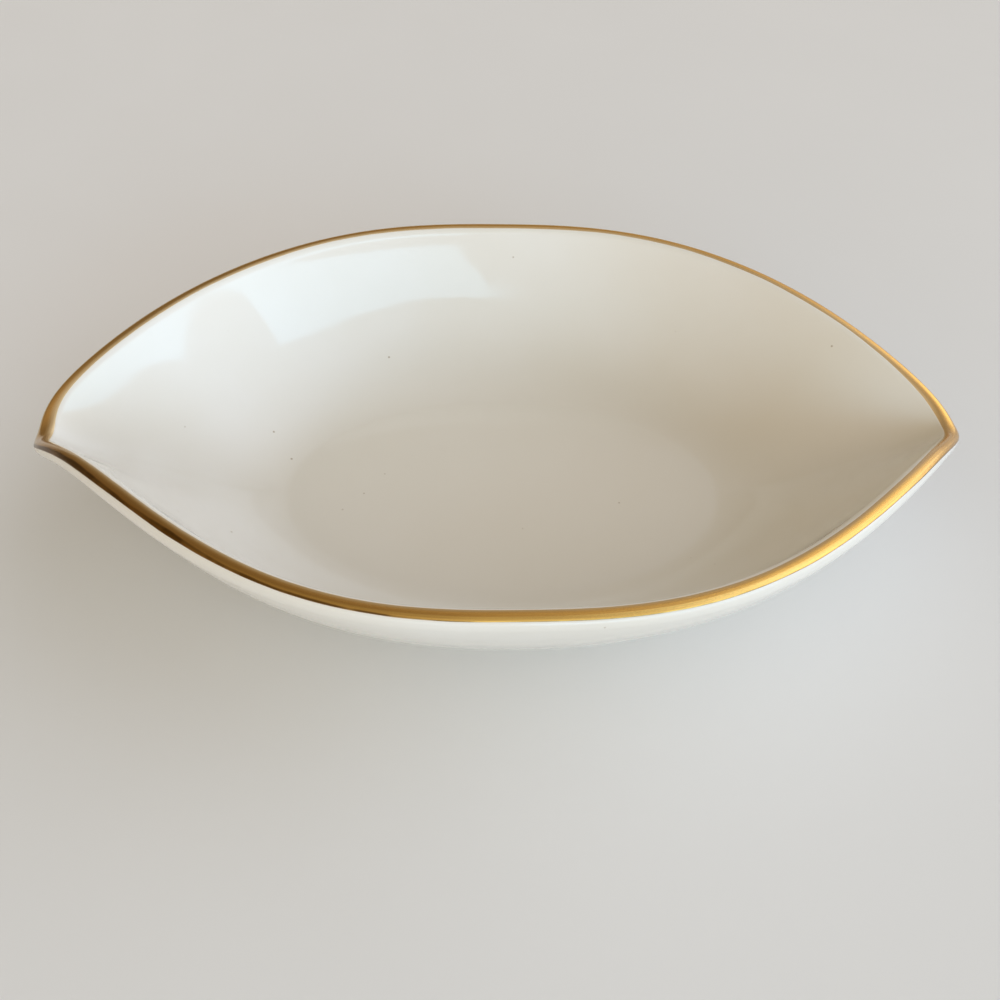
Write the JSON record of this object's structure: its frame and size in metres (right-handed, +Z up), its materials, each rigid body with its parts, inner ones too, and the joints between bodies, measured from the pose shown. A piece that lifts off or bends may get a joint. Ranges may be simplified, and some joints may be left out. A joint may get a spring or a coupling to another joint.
{
  "type": "ring dish",
  "caption": "Small boat-shaped glazed porcelain dish with pointed, dipped tips, a flat oval well, a foot ring and a gold band on its lip.",
  "frame": {"origin": "on the table under the middle of the dish, in the plane of the foot ring's standing edge", "axes": "+X from tip to tip, +Y across the dish, +Z up"},
  "size_m": [0.15, 0.0914, 0.0291],
  "materials": {
    "glazed_porcelain": "clear gloss glaze over an ivory body; bare and matt on the foot ring's standing edge",
    "fired_gold": "bright fired gold, polished, a little worn and uneven at its edges"
  },
  "bodies": {
    "root": {"porcelain_dish": "glazed_porcelain", "gold_rim_band": "fired_gold"}
  },
  "joints": []
}
